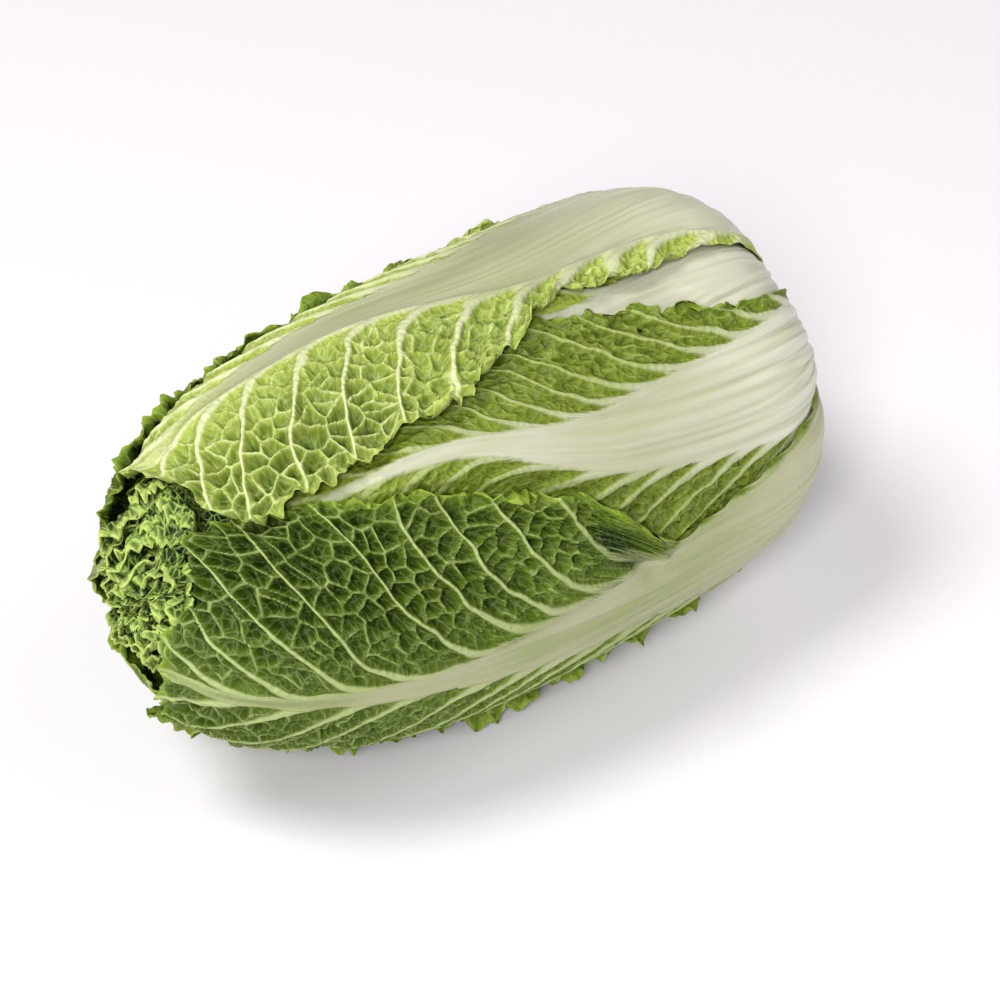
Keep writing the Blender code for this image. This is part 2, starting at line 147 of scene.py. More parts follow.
# From the outermost leaf inwards.
LEAVES = (
    Leaf(
        "outer_leaf_back", angles=(-106, -103, -101, -99, -97), tip=0.354, rib=(OUTER_RIB, OUTER_RIB),
        sides=(COMMON_SIDE, (18, 27, 38, 56, 72, 76, 78, 79, 77, 66, 38)),
        rounding=(0.022, 0.022), flare=0.003, size=(300, 120), look="deep",
    ),
    Leaf(
        "outer_leaf_top", angles=(-16, -14, -8, -17, -20), tip=0.338,
        rib=((17, 29, 33, 32, 27, 19, 13, 9.5, 5, 1.5), (17, 31, 37, 29, 23, 19, 12, 8, 5, 1.5)),
        sides=((20, 32, 40, 46, 50, 54, 57, 62, 66, 58, 36), (22, 33, 42, 45, 38, 34, 41, 54, 63, 63, 47)),
        rounding=(0.0155, 0.0155), flare=0.003, lift=(-1.0, -1.3), skew=0.35, size=(440, 160),
        starts=TOP_STARTS, turn=(3.0, 3.0), stout=1.5, white=0.018, cell=0.0074,
        crinkle=1.7, frill=(1.0, 1.4), look="light",
    ),
    Leaf(
        "outer_leaf_front", angles=(110, 109, 106, 101, 99), tip=0.372,
        rib=((16, 31, 38, 31, 26, 22, 16, 8, 3.5, 1.2), (16, 29, 30, 21, 12, 9, 6, 4, 2.5, 1.2)),
        sides=((18, 32, 41, 34, 27, 49, 65, 72, 79, 81, 40), (20, 30, 38, 45, 51, 56, 60, 66, 70, 66, 30)),
        rounding=(0.034, 0.013), flare=0.01, lift=(-2.2, -1.0), skew=-0.5, size=(450, 160),
        starts=FRONT_STARTS, sweep=(0.95, 0.95), turn=(5.7, 5.7), stout=1.35, white=0.01,
        cell=0.0078, crinkle=1.7, frill=(1.9, 1.6), pale=0.006, ridged=1.8, fold=0.47,
        ripe=(0.2, 0.36), look="deep",
    ),
    Leaf(
        "second_leaf_under", angles=(181,) * 5, tip=0.364, rib=(OUTER_RIB, OUTER_RIB),
        lie=-0.001, rounding=(0.018, 0.018), flare=0.005, frill=(0.3, 0.6), size=(240, 100), look="deep",
    ),
    Leaf(
        "second_leaf_front", angles=(64, 62, 54.5, 37, 32), tip=0.33,
        rib=((13, 21, 25, 23, 19, 13, 7, 4, 2, 1.0), (13, 21, 22, 19, 17, 14, 10, 4, 2, 1.0)),
        sides=((15, 22, 32, 41, 49, 54, 57, 61, 64, 58, 34), (16, 24, 33, 42, 49, 54, 57, 61, 64, 58, 34)),
        lie=-0.0024, lift=(0.7, -1.0), size=(420, 140), starts=SECOND_STARTS, sweep=(1.1, 1.6),
        turn=(3.0, 4.0), stout=0.95, white=0.006, cell=0.006, crinkle=1.9, ridged=2.4,
        ripe=(-0.02, 0.14), look="green",
    ),
    Leaf("third_leaf_back", angles=(-56, -54, -52, -50, -48), tip=0.334, lie=-0.004, size=(120, 50)),
    Leaf(
        "third_leaf_top", angles=(28, 27, 25, 20, 16), tip=0.328, lie=-0.0042, size=(260, 120), ridged=1.8,
        look="young",
    ),
    Leaf("third_leaf_front", angles=(146, 144, 142, 140, 138), tip=0.338, lie=-0.005, size=(120, 50)),
    Leaf("third_leaf_under", angles=(-144, -142, -140, -137, -134), tip=0.338, lie=-0.005, size=(120, 50)),
)


def curve(stations, values, at):
    """A smooth line through the points (stations, values), with no overshoot, read at any stations."""
    x, y = np.array([stations, values], float)
    chords = np.diff(y) / np.diff(x)
    before, after = chords[:-1], chords[1:]
    same_way = before * after > 0
    inner = np.where(same_way, 2 * before * after / np.where(same_way, before + after, 1), 0)
    slopes = np.concatenate([chords[:1], inner, chords[-1:]])
    at = np.clip(at, x[0], x[-1])
    i = np.clip(np.searchsorted(x, at, side="right") - 1, 0, len(x) - 2)
    width = x[i + 1] - x[i]
    u = (at - x[i]) / width
    return (
        y[i] * (1 + 2 * u) * (1 - u) ** 2
        + slopes[i] * width * u * (1 - u) ** 2
        + y[i + 1] * u * u * (3 - 2 * u)
        + slopes[i + 1] * width * u * u * (u - 1)
    )


def ease(low, high, value):
    """A smooth step from 0 to 1."""
    u = np.clip((value - low) / (high - low), 0, 1)
    return u * u * (3 - 2 * u)


def bell(value, width):
    """1 at zero, and falls off smoothly on both sides."""
    return np.exp(-((value / width) ** 2))


def grid(rows, columns):
    return np.meshgrid(rows, columns, indexing="ij")


def noise(x, y, seed):
    """Smooth random values from -1 to 1, with one bump for each unit of x and y."""
    x, y = np.broadcast_arrays(x, y)
    i, j = np.floor(x).astype(np.int64), np.floor(y).astype(np.int64)
    u, v = x - i, y - j
    u, v = u * u * u * (u * (6 * u - 15) + 10), v * v * v * (v * (6 * v - 15) + 10)

    def corner(di, dj):
        n = ((i + di + 7919) * 374761393 + (j + dj + 7919) * 668265263 + seed * 97463477) & 0xFFFFFFFF
        n = ((n ^ (n >> 13)) * 127412617) & 0xFFFFFFFF
        n = ((n ^ (n >> 15)) * 97463477) & 0xFFFFFFFF
        return ((n ^ (n >> 16)) & 0xFFFF) / 32767.5 - 1

    low = corner(0, 0) * (1 - u) + corner(1, 0) * u
    high = corner(0, 1) * (1 - u) + corner(1, 1) * u
    return low * (1 - v) + high * v


def make_envelope():
    """The head's outline, turned round X: along, x, radius and the outward normal's x and radial parts."""
    turn = np.linspace(0, math.pi, 2001)
    half = np.where(turn < math.pi / 2, STEM_HALF, CROWN_HALF)
    power = 2 / np.where(turn < math.pi / 2, STEM_SQUARENESS, CROWN_SQUARENESS)
    x = half * np.sign(np.cos(turn)) * np.abs(np.cos(turn)) ** power
    radius = HEAD_RADIUS * np.abs(np.sin(turn)) ** power * (1 - HEAD_SWELL * x)
    radius[[0, -1]] = 0
    along = np.concatenate([[0], np.cumsum(np.hypot(np.diff(x), np.diff(radius)))])
    even = np.linspace(0, along[-1], 800)
    x, radius = np.interp(even, along, x), np.interp(even, along, radius)
    dx, dr = np.gradient(x), np.gradient(radius)
    length = np.hypot(dx, dr)
    return even, x, radius, dr / length, -dx / length


ENVELOPE = make_envelope()
HEAD_ALONG = ENVELOPE[0][-1]


def head_radius(along):
    return np.interp(along, ENVELOPE[0], ENVELOPE[2])


def place(along, angle, height):
    """Points of the head's own frame, whose X axis runs through the stem, as an array of x, y, z."""
    x, radius, normal_x, normal_r = (np.interp(along, ENVELOPE[0], line) for line in ENVELOPE[1:])
    x = x + height * normal_x
    radius = radius + height * normal_r
    turn = np.radians(angle)
    lift = np.where(x > 0, STEM_LIFT * (x / STEM_HALF) ** 2, CROWN_LIFT * np.abs(x / CROWN_HALF) ** 3)
    return np.stack([x, -radius * np.sin(turn), radius * np.cos(turn) + lift], axis=-1)


# The map in which the leaves are laid: rows run along the head, columns round it.
MAP_ROWS = int(HEAD_ALONG / MAP_STEP) + 2


def moved(field, rows, columns):
    index = np.clip(np.arange(len(field)) + rows, 0, len(field) - 1)
    return np.roll(field[index], columns, axis=1)


def disc(cells):
    span = range(-cells, cells + 1)
    return [(i, j) for i in span for j in span if i * i + j * j <= cells * cells + 1]


def settled(field):
    """A smooth field that is nowhere above the given one."""
    lowest = np.min([moved(field, i, j) for i, j in disc(SPREAD_CELLS)], axis=0)
    return np.mean([moved(lowest, i, j) for i, j in disc(SPREAD_CELLS)], axis=0)


def read_map(field, along, angle):
    row = np.clip(along / MAP_STEP, 0, MAP_ROWS - 1.001)
    column = np.mod(angle, 360) / 360 * MAP_TURNS
    i, j = np.floor(row).astype(int), np.floor(column).astype(int)
    u, v = row - i, column - j
    j, k = j % MAP_TURNS, (j + 1) % MAP_TURNS
    low = field[i, j] * (1 - v) + field[i, k] * v
    high = field[i + 1, j] * (1 - v) + field[i + 1, k] * v
    return low * (1 - u) + high * u


def leaf_share(leaf, along):
    return (along - LEAF_BASE) / (leaf.tip - LEAF_BASE)


def by_side(side, stations, pair, share):
    """Reads the upper line where side is negative, and the lower line elsewhere, in metres."""
    upper, lower = (curve(stations, line, share) for line in pair)
    return 0.001 * np.where(side < 0, upper, lower)


def warps(along, across, number):
    """How far the veins stray along the leaf, and away from the rib."""
    stray = 0.0022 * noise(along / 0.02, across / 0.02, number)
    return stray, 0.0012 * noise(along / 0.008 + 31, across / 0.008, number + 80)


def leaf_points(leaf, number):
    """Row, column, along, across, the rib's half width and the side's width at each point of the leaf's
    grid. The rows run with the side veins, and are closer together there."""
    even = np.linspace(-1, 1, leaf.size[1] + 1)
    columns = even + leaf.skew * (1 - even**2) / 2
    row, column = grid(np.linspace(0, 1, leaf.size[0] + 1), columns)
    side = np.where(column < 0, -1, 1)
    droop = np.where(side < 0, *leaf.rounding) * np.abs(column) ** 2.4 * row**4
    start = LEAF_BASE + row * (leaf.tip - LEAF_BASE)
    starts = vein_starts(leaf, number)
    level = np.interp(start, starts, np.arange(len(starts)))
    start = start - 0.35 * VEIN_SPACING * np.sin(math.tau * level) / math.tau
    swept = ease(0, 0.12, row) * np.clip((1 - row) / 0.4, 0, 1)

    def half_widths(along):
        share = leaf_share(leaf, along)
        rib = by_side(side, RIB_STATIONS, leaf.rib, share)
        return rib, np.maximum(by_side(side, OUTLINE_STATIONS, leaf.sides, share), rib + 0.0015)

    along = start - droop
    for _ in range(4):
        rib, width = half_widths(along)
        beyond = np.abs(column) * width - rib
        calm = ease(0, 0.01, beyond)
        stray, away = warps(along, column * width, number)
        run = np.where(side < 0, *(vein_run(leaf, which, beyond + away * calm) for which in (0, 1)))
        along = start - droop + swept * (run - stray * (0.3 + 0.7 * calm))
    rib, width = half_widths(along)
    return row, column, along, column * width, rib, width


def to_angle(leaf, along, across):
    angle = curve((0, 0.25, 0.5, 0.75, 1), leaf.angles, leaf_share(leaf, along))
    return angle + np.degrees(across / np.maximum(head_radius(along), 0.012))


def vein_run(leaf, which, beyond):
    """How far along the head a side vein has run when it is this far beyond the rib's edge."""
    b = np.maximum(beyond, 0)
    return LEAVE_RUN * (1 - np.exp(-b / LEAVE_OVER)) + leaf.sweep[which] * b - leaf.turn[which] * b * b


def vein_slope(leaf, which, beyond):
    b = np.maximum(beyond, 0)
    leaving = LEAVE_RUN / LEAVE_OVER * np.exp(-b / LEAVE_OVER)
    return leaving + leaf.sweep[which] - 2 * leaf.turn[which] * b


def vein_starts(leaf, number):
    if leaf.starts:
        return np.array(leaf.starts) * 0.001
    rng = np.random.default_rng(10 * number)
    even = np.arange(0.028, leaf.tip + 0.02, VEIN_SPACING)
    return even + rng.uniform(-0.003, 0.003, len(even))


def wall_distance(points, groups, seeds, seed_groups):
    """Splits each group of points into cells, one for each of the group's seeds. Returns the distance of
    each point from the nearest wall of its cell, and the number of its cell."""
    distance = np.full(len(points), 0.05)
    cell = np.full(len(points), -1)
    order = np.argsort(groups, kind="stable")
    marks = np.searchsorted(groups[order], np.arange(groups.max() + 2))
    seed_order = np.argsort(seed_groups, kind="stable")
    seed_marks = np.searchsorted(seed_groups[seed_order], np.arange(groups.max() + 2))
    for g in range(max(groups.min(), 0), groups.max() + 1):
        mine = order[marks[g] : marks[g + 1]]
        own = seed_order[seed_marks[g] : seed_marks[g + 1]]
        if not len(mine) or not len(own):
            continue
        squares = ((points[mine][:, None] - seeds[own][None]) ** 2).sum(axis=-1)
        nearest = squares.argmin(axis=1)
        cell[mine] = own[nearest]
        if len(own) == 1:
            continue
        apart = np.sqrt(((seeds[own][:, None] - seeds[own][None]) ** 2).sum(axis=-1))
        np.fill_diagonal(apart, np.inf)
        here = np.arange(len(mine)), nearest
        walls = (squares - squares[here][:, None]) / (2 * apart[nearest])
        walls[here] = np.inf
        distance[mine] = walls.min(axis=1)
    return distance, cell


def band_seeds(leaf, which, starts, reach, size, seed):
    """Points scattered evenly between the side veins: (along, beyond) and the number of their band."""
    rng = np.random.default_rng(seed)
    points, bands = [], []
    for i in range(len(starts) - 1):
        wide = max(1, round((starts[i + 1] - starts[i]) / size))
        deep = max(1, round(reach / size))
        a, b = grid(np.arange(wide), np.arange(deep))
        shift = rng.uniform(-0.45, 0.45, (2, *a.shape))
        part = (a + 0.5 + shift[0] + 0.25 * (b % 2 - 0.5) * (wide > 1)) / wide
        beyond = (b + 0.5 + shift[1]) * size
        start = starts[i] + part * (starts[i + 1] - starts[i])
        points.append(np.stack([start + vein_run(leaf, which, beyond), beyond], -1).reshape(-1, 2))
        bands.append(np.full(a.size, i))
    return np.concatenate(points), np.concatenate(bands)


def veins(leaf, along, across, rib, number):
    """The net of veins: which side vein a point is at, with whole numbers on the veins, and how far apart
    these are there; and the distances from the nearest side vein, the coarse and the fine net."""
    level, apart, to_net, to_fine = np.zeros((4, *along.shape))
    stray, away = warps(along, across, number)
    stray = stray + 0.0007 * noise(along / 0.007, across / 0.007, number + 40)
    starts = vein_starts(leaf, number)
    reach = np.abs(across).max()
    for which, mine in enumerate((across < 0, across >= 0)):
        beyond_true = np.abs(across[mine]) - rib[mine]
        calm = ease(0, 0.01, beyond_true)
        beyond = np.maximum(beyond_true + away[mine] * calm, 0)
        s = along[mine] + stray[mine] * (0.3 + 0.7 * calm)
        inside = np.maximum(-beyond_true, 0) / np.maximum(rib[mine], 1e-4)
        start = s - vein_run(leaf, which, beyond) + RIB_RUN * inside
        own = np.interp(start, starts, np.arange(len(starts)))
        band = np.clip(np.floor(own).astype(int), 0, len(starts) - 2)
        slope = np.where(
            beyond_true > 0, vein_slope(leaf, which, beyond), RIB_RUN / np.maximum(rib[mine], 1e-3)
        )
        level[mine] = own
        apart[mine] = np.diff(starts)[band] / np.hypot(1, slope)
        points = np.stack([s, beyond], -1)
        coarse = band_seeds(leaf, which, starts, reach, leaf.cell, 100 * number + which)
        fine = band_seeds(leaf, which, starts, reach, leaf.cell / FINE_CELLS, 100 * number + 2 + which)
        to_net[mine], cell = wall_distance(points, band, *coarse)
        _, fine_parent = wall_distance(fine[0], fine[1], *coarse)
        to_fine[mine], _ = wall_distance(points, cell, fine[0], fine_parent)
    return level, apart, np.abs(level - np.round(level)) * apart, to_net, to_fine


def leaf_surface(leaf, number):
    """The leaf's points and the relief on it, with the shares of rib, vein and so on that colour it."""
    row, column, along, across, rib, width = leaf_points(leaf, number)
    share = leaf_share(leaf, along)
    side = np.where(column < 0, -1, 1)
    beyond = np.abs(across) - rib
    near_tip = ease(0.5, 0.85, share)
    bladed = ease(0.002, 0.011, width - rib)

    # The margin's teeth and lobes.
    teeth = 0.0016 * noise(along / 0.0032, side * 3.3, number + 5)
    teeth += 0.0022 * noise(along / 0.009, side * 7.7, number + 6)
    tip_teeth = 0.0011 * noise(across / 0.003, 0.5, number + 7)
    tip_teeth += 0.003 * noise(across / 0.011, 1.5, number + 8)
    teeth += 0.0036 * near_tip * (1 - row**6) * noise(along / 0.01, side * 1.7, number + 24)
    foldable = (side < 0) * (leaf.fold > 0)
    fold = bell(share - leaf.fold, 0.042) * foldable * bladed
    teeth += 0.003 * fold * noise(along / 0.0042, 0.5, number + 26)
    teeth *= 0.3 + 0.7 * ease(0.06, 0.24, share)
    across = across + side * teeth * bladed * np.abs(column) ** 6
    along = along + tip_teeth * row**30
    to_margin = np.minimum(width * (1 - np.abs(column)), (1 - row) * (leaf.tip - LEAF_BASE))

    def bumps(seed, length, breadth):
        return noise(along / length, across / breadth, number + seed)

    # Where each point is in the veins and in their net.
    level, apart, to_vein, to_net, to_fine = veins(leaf, along, across, rib, number)
    blade = ease(-0.0005, 0.004, beyond)
    ripe = ease(*leaf.ripe, share)
    grown = blade * ripe
    off_rib = np.abs(beyond)
    vein_half = 0.00046 + 0.00115 * np.exp(-off_rib / 0.018) + 0.0008 * np.exp(-off_rib / 0.005)
    vein_half *= leaf.stout * (1 - 0.3 * near_tip)
    veined = ease(-0.003, 0.0005, beyond) * (0.25 + 0.75 * ripe) * ease(0.02, 0.1, share)
    in_vein = bell(to_vein, 0.0002 + vein_half)
    in_net = bell(to_net, NET_HALF)
    in_fine = bell(to_fine, FINE_HALF)
    from_vein = np.minimum(np.maximum(to_vein - 0.6 * vein_half, 0), to_net)
    valley = 1 - np.exp(-to_vein / 0.005)
    bowl = 1 - bell(from_vein, 0.002)
    inner = 1 - np.exp(-from_vein / 0.0017)
    small = ease(0, 0.0019, np.minimum(from_vein, to_fine))

    # The blade's blisters and veins, and the rib.
    section = np.clip(1 - (across / rib) ** 2, 0, 1)
    fleshy = curve((0, 0.12, 0.35, 0.6, 0.8, 1), (0.75, 1.0, 0.85, 0.4, 0.15, 0.05), share)
    patchy = 0.75 + 0.35 * bumps(9, 0.022, 0.022)
    depth = leaf.crinkle * grown * (0.25 + 0.75 * ease(0, 0.03, beyond)) * patchy * (0.85 + 0.8 * near_tip)
    depth = depth * (0.45 + 0.55 * ease(0, 0.01, to_margin))
    relief = -depth * (VALLEY_DEPTH * valley + CELL_DEPTH * bowl + FINE_DEPTH * small) + 0.001 * grown
    ridge_tall = 0.00022 * fleshy + 0.8 * vein_half * np.exp(np.minimum(beyond, 0) / 0.0035)
    relief += ridge_tall * in_vein * ease(0.02, 0.25, share)
    relief += grown * (0.0004 * in_net * (1 - in_vein) + 0.00015 * in_fine)
    relief += RIB_BULGE * fleshy * section**0.8

    # Grooves run with the side veins near the stem, and along the rib further on.
    groove = bell(noise(along / 0.09 + 7, level * 0.45, number + 4), 0.17)
    second = bell(noise(along / 0.13 + 3, level * 0.55 + 5, number + 27), 0.13)
    groove = np.maximum(groove, 0.6 * second)
    lane = across / rib
    lane_turns = across / GROOVE_SPACING + 0.7 * noise(along / 0.14, lane * 1.6, number + 28)
    in_lane = (0.5 + 0.5 * np.cos(2 * np.pi * lane_turns)) ** 1.6
    lane_deep = 0.75 + 0.35 * noise(along / 0.09, lane * 3.0, number + 31)
    further = ease(0.18, 0.34, share)
    groove = groove * (1 - further) + further * in_lane * lane_deep
    ridges = 0.0003 * noise(along / 0.08, level * 0.85, number + 3) - 0.00034 * groove
    ridges = leaf.ridged * ridges * (1 - blade) * np.sqrt(fleshy)

    # Frills grow towards the margin.
    frilled = np.where(side < 0, *leaf.frill) * (0.25 + 0.75 * ease(0.05, 0.3, share))
    coarse = 0.35 + 0.65 * bumps(11, 0.0075, 0.01)
    frill = frilled * bladed * (
        0.0034 * coarse * np.exp(-to_margin / 0.006)
        + 0.0013 * bumps(12, 0.003, 0.0036) * np.exp(-to_margin / 0.0028)
    )
    end_waves = noise(across / 0.016, along / 0.03, number + 13)
    frill += frilled * 0.0045 * np.exp(-(1 - row) * leaf.tip / 0.016) * end_waves
    ruffle = noise(along / 0.011, side, number + 25)
    frill += frilled * near_tip * 0.004 * np.exp(-to_margin / 0.009) * ruffle
    lift = 0.001 * np.where(side < 0, *leaf.lift)
    hug = -lift * np.exp(-to_margin / 0.008) * (1 - ease(0.3, 0.5, share))
    flare = leaf.flare * np.clip((share - 0.78) / 0.22, 0, 1) ** 1.6
    crumple = 0.42 + 0.58 * np.exp(-to_margin / 0.012)
    crumple *= (1 - 0.85 * in_vein) * (0.3 + 0.7 * ease(0.12, 0.36, share))
    grit = 0.00125 * bumps(14, 0.0038, 0.0038) + 0.0006 * bumps(15, 0.0019, 0.0019)
    relief += leaf.crinkle * grown * crumple * grit
    thick = BLADE * (0.55 + 0.45 * ease(0, 0.004, to_margin))
    thick += section * (RIB_DEPTH * fleshy + BASE_DEPTH * (1 - ease(0.03, 0.065, along)))

    # The corner that is folded up, and the crease under it.
    crease = fold * bell(to_margin - 0.016, 0.0068)
    relief -= 0.004 * crease
    fold_far = bell(share - leaf.fold, 0.06) * foldable * bladed * ease(0, 0.014, beyond)
    frill += 0.004 * fold_far * bell(to_margin - 0.032, 0.011)
    flap = FOLD_HEIGHT * (0.85 + 0.3 * noise(along / 0.0055, side * 2.2, number + 23))
    flap += 0.0016 * bumps(29, 0.0026, 0.0034)
    frill = frill * (1 - fold) + fold * flap * bell(to_margin, 0.0075)
    smooth_fold = 1 - 0.85 * np.minimum(1, 1.5 * fold * np.exp(-to_margin / 0.022))
    away = np.maximum(beyond, 0)
    masks = {
        "beyond": 1000 * beyond,
        "ribbed": 1 - 0.75 * ease(0.75, 1.0, share),
        "level": level,
        "reach": apart / vein_half,
        "veined": veined * smooth_fold,
        "white": smooth_fold * veined * np.exp(-away / leaf.white) * (1 - 0.85 * near_tip),
        "netted": grown * smooth_fold,
        "to_net": np.minimum(1000 * to_net, 9),
        "to_fine": np.minimum(1000 * to_fine, 9),
        # Painted shade: the blade is turned to its deep green in its sunken cells and in the crease under
        # the folded corner, where it also loses its young pale.
        "hollow_shade": np.clip(grown * inner * (0.5 + 0.5 * small) + 1.2 * crease, 0, 1.4),
        "young": np.exp(-away / leaf.pale) * (1 - crease) + 1 - ripe,
        "margin": bladed * np.exp(-to_margin / 0.0022),
        "groove": groove * min(1.0, 0.4 * leaf.ridged) * np.sqrt(fleshy),
        "foot": 1 - ease(0.034, 0.062, along),
    }
    return SimpleNamespace(
        along=along, across=across, side=side, width=width, share=share, relief=relief, ridges=ridges,
        rise=frill + flare - hug, thick=thick, bladed=bladed, fold=fold, masks=masks,
    )


def curl_of(surface, number):
    """How far round the margin has rolled outwards, in radians, how far from it the roll starts, and how
    far the margin goes on straight after it."""
    start = 0.003 + 0.0032 * noise(surface.along / 0.011, surface.side * 5.1, number + 21)
    start = np.maximum(start, 0) * surface.bladed * ease(0.02, 0.2, surface.share)
    start = start * (1 - surface.fold)
    from_side = surface.width - np.abs(surface.across)
    most = 2.2 - 0.85 * surface.fold
    turn = (start - from_side) / ROLL_RADIUS
    return np.clip(turn, 0, most), start, ROLL_RADIUS * np.maximum(turn - most, 0)


def leaf_world(leaf, surface, lie, curl, sunk):
    """World points of the leaf at this depth below its outer face."""
    roll, start, straight = curl
    rolled = roll > 0
    edge = np.where(rolled, surface.width - start, np.abs(surface.across))
    out = surface.relief - sunk
    reach = edge + np.where(rolled, (ROLL_RADIUS - out) * np.sin(roll) + straight * np.cos(roll), 0)
    height = lie + surface.rise + ROLL_RADIUS * (1 - np.cos(roll))
    height = height + straight * np.sin(roll) + out * np.cos(roll)
    angle = to_angle(leaf, surface.along, surface.side * reach)
    return place(surface.along, angle, height)


def grid_faces(index):
    """A quad for each cell of a grid of point numbers."""
    corners = index[:-1, :-1], index[:-1, 1:], index[1:, 1:], index[1:, :-1]
    return np.stack([corner.ravel() for corner in corners], -1)


def grid_edge(index):
    return np.concatenate([index[0], index[1:, -1], index[-1, -2::-1], index[-2:0:-1, 0]])


def sheet_faces(rows, columns):
    """Faces of a closed sheet: a fine outer grid, then an inner one with every second row and column."""
    outer = np.arange(rows * columns).reshape(rows, columns)
    shape = outer[::2, ::2].shape
    inner = outer.size + np.arange(shape[0] * shape[1]).reshape(shape)
    edge, near = grid_edge(outer), grid_edge(inner)
    first, middle, last = edge[0::2], edge[1::2], np.roll(edge, -2)[0::2]
    far = np.roll(near, -1)
    rim = ((first, near, middle), (middle, near, far), (middle, far, last))
    quads = np.concatenate([grid_faces(outer), grid_faces(inner)[:, ::-1]])
    return quads, np.concatenate([np.stack(corners, -1) for corners in rim])


def tube_faces(rows, turns):
    """Faces of a closed tube, with its two end points after its rows of points."""
    index = np.arange(rows * turns).reshape(rows, turns)
    index = np.hstack([index, index[:, :1]])
    here, after, end = index[:, :-1], index[:, 1:], np.full(turns, rows * turns)
    fans = [np.stack([end, after[0], here[0]], -1), np.stack([end + 1, here[-1], after[-1]], -1)]
    return grid_faces(index), np.concatenate(fans)


def both_faces(masks, *grain):
    """The masks and the grain's coordinates, for a sheet's outer and then its inner points."""
    both = {k: np.concatenate([v.ravel(), v[::2, ::2].ravel()]) for k, v in masks.items()}
    grain = np.stack(np.broadcast_arrays(*grain), -1)
    both["grain"] = np.concatenate([grain.reshape(-1, 3), grain[::2, ::2].reshape(-1, 3)])
    return both


def tube_faces(rows, turns):
    """Faces of a closed tube, with its two end points after its rows of points."""
    i, j = np.meshgrid(np.arange(rows - 1), np.arange(turns), indexing="ij")
    a, b = (i * turns + j).ravel(), (i * turns + (j + 1) % turns).ravel()
    j = np.arange(turns)
    k, end, last = (j + 1) % turns, np.full(turns, rows * turns), (rows - 1) * turns
    fans = [np.stack([end, k, j], -1), np.stack([end + 1, last + j, last + k], -1)]
    return np.stack([a, b, b + turns, a + turns], -1), np.concatenate(fans)


def make_mesh(name, points, quads, triangles, masks, material):
    """A closed mesh with its faces turned outwards and the masks as attributes of its points."""
    volume = 0
    for a, b, c in (quads[:, :3].T, quads[:, [0, 2, 3]].T, triangles.T):
        ends = points[a]
        volume += np.sum(np.cross(points[b] - ends, points[c] - ends) * ends)
    if volume < 0:
        quads, triangles = quads[:, ::-1], triangles[:, ::-1]
    mesh = bpy.data.meshes.new(name)
    mesh.vertices.add(len(points))
    mesh.vertices.foreach_set("co", points.astype(np.float32).ravel())
    loops = np.concatenate([quads.ravel(), triangles.ravel()]).astype(np.int32)
    mesh.loops.add(len(loops))
    mesh.loops.foreach_set("vertex_index", loops)
    firsts = np.concatenate([np.arange(len(quads)) * 4, quads.size + np.arange(len(triangles)) * 3])
    mesh.polygons.add(len(firsts))
    mesh.polygons.foreach_set("loop_start", firsts.astype(np.int32))
    mesh.update(calc_edges=True)
    mesh.shade_smooth()
    for key, values in masks.items():
        kind, field = ("FLOAT_VECTOR", "vector") if values.ndim == 2 else ("FLOAT", "value")
        made = mesh.attributes.new(key, kind, "POINT")
        made.data.foreach_set(field, values.astype(np.float32).ravel())
    mesh.materials.append(material)
    piece = bpy.data.objects.new(name, mesh)
    bpy.context.scene.collection.objects.link(piece)
    return piece


def make_leaf(leaf, number, ceiling, shift, material):
    """One leaf, laid under this ceiling, which it then lowers."""
    surface = leaf_surface(leaf, number)
    allowed = settled(np.minimum(ceiling - LEAF_GAP, leaf.lie + 0.006))
    angle = to_angle(leaf, surface.along, surface.across)
    room = read_map(allowed, surface.along, angle)
    lie = np.minimum(leaf.lie, room - 0.0003)
    surface.relief = np.minimum(surface.relief, room - lie - 0.0001) + surface.ridges
    covered = ease(0.0, 0.0025, leaf.lie + 0.0057 - room)
    surface.rise = surface.rise * (1 - covered)
    roll, *rest = curl_of(surface, number)
    curl = (roll * (1 - covered), *rest)
    outside = leaf_world(leaf, surface, lie, curl, 0.0)
    inside = leaf_world(leaf, surface, lie, curl, surface.thick)[::2, ::2]
    under = lie + surface.rise + surface.relief - surface.thick
    i = np.clip(np.round(surface.along / MAP_STEP).astype(int), 0, MAP_ROWS - 1)
    j = np.round(np.mod(angle, 360) / 360 * MAP_TURNS).astype(int) % MAP_TURNS
    np.minimum.at(ceiling, (i.ravel(), j.ravel()), under.ravel())

    points = np.concatenate([outside.reshape(-1, 3), inside.reshape(-1, 3)]) + shift
    quads, rim = sheet_faces(*outside.shape[:2])
    masks = both_faces(surface.masks, surface.along, surface.across, number * 0.1)
    floor = np.where(np.arange(len(points)) < outside[..., 0].size, 0.0, 0.0004)
    points[:, 2] = np.maximum(points[:, 2], floor)
    return make_mesh("fine_" + leaf.name, points, quads, rim, masks, material)


# The crown: leaf tips of the heart that stand on its end and lean over its centre.
CROWN_CENTRE = (-0.006, 0.024)
# Tips, distance from the crown's centre, width, rise, lean, and the ring's start and length in turns.
CROWN_RINGS = (
    (8, 0.0455, 0.054, 0.021, 0.66, 0.0, 1.0),
    (7, 0.037, 0.047, 0.022, 0.56, 0.37, 1.0),
    (6, 0.029, 0.041, 0.022, 0.5, 0.74, 1.0),
    (5, 0.0205, 0.034, 0.023, 0.42, 0.11, 1.0),
    (4, 0.0125, 0.026, 0.022, 0.3, 0.48, 1.0),
    (2, 0.006, 0.016, 0.02, 0.15, 0.85, 1.0),
    (5, 0.057, 0.046, 0.015, 0.6, 0.58, 0.42),
)
CROWN_OVAL = 0.12  # how much further out the rings stand above the crown's centre than level with it
CROWN_ROOT = 0.008
CROWN_CELL = 0.0052  # of the net on a tip
CROWN_SIZE = (56, 34)  # spaces between points, across a tip and up it
HEART_SIZE = (48, 66)  # rows and turns of points
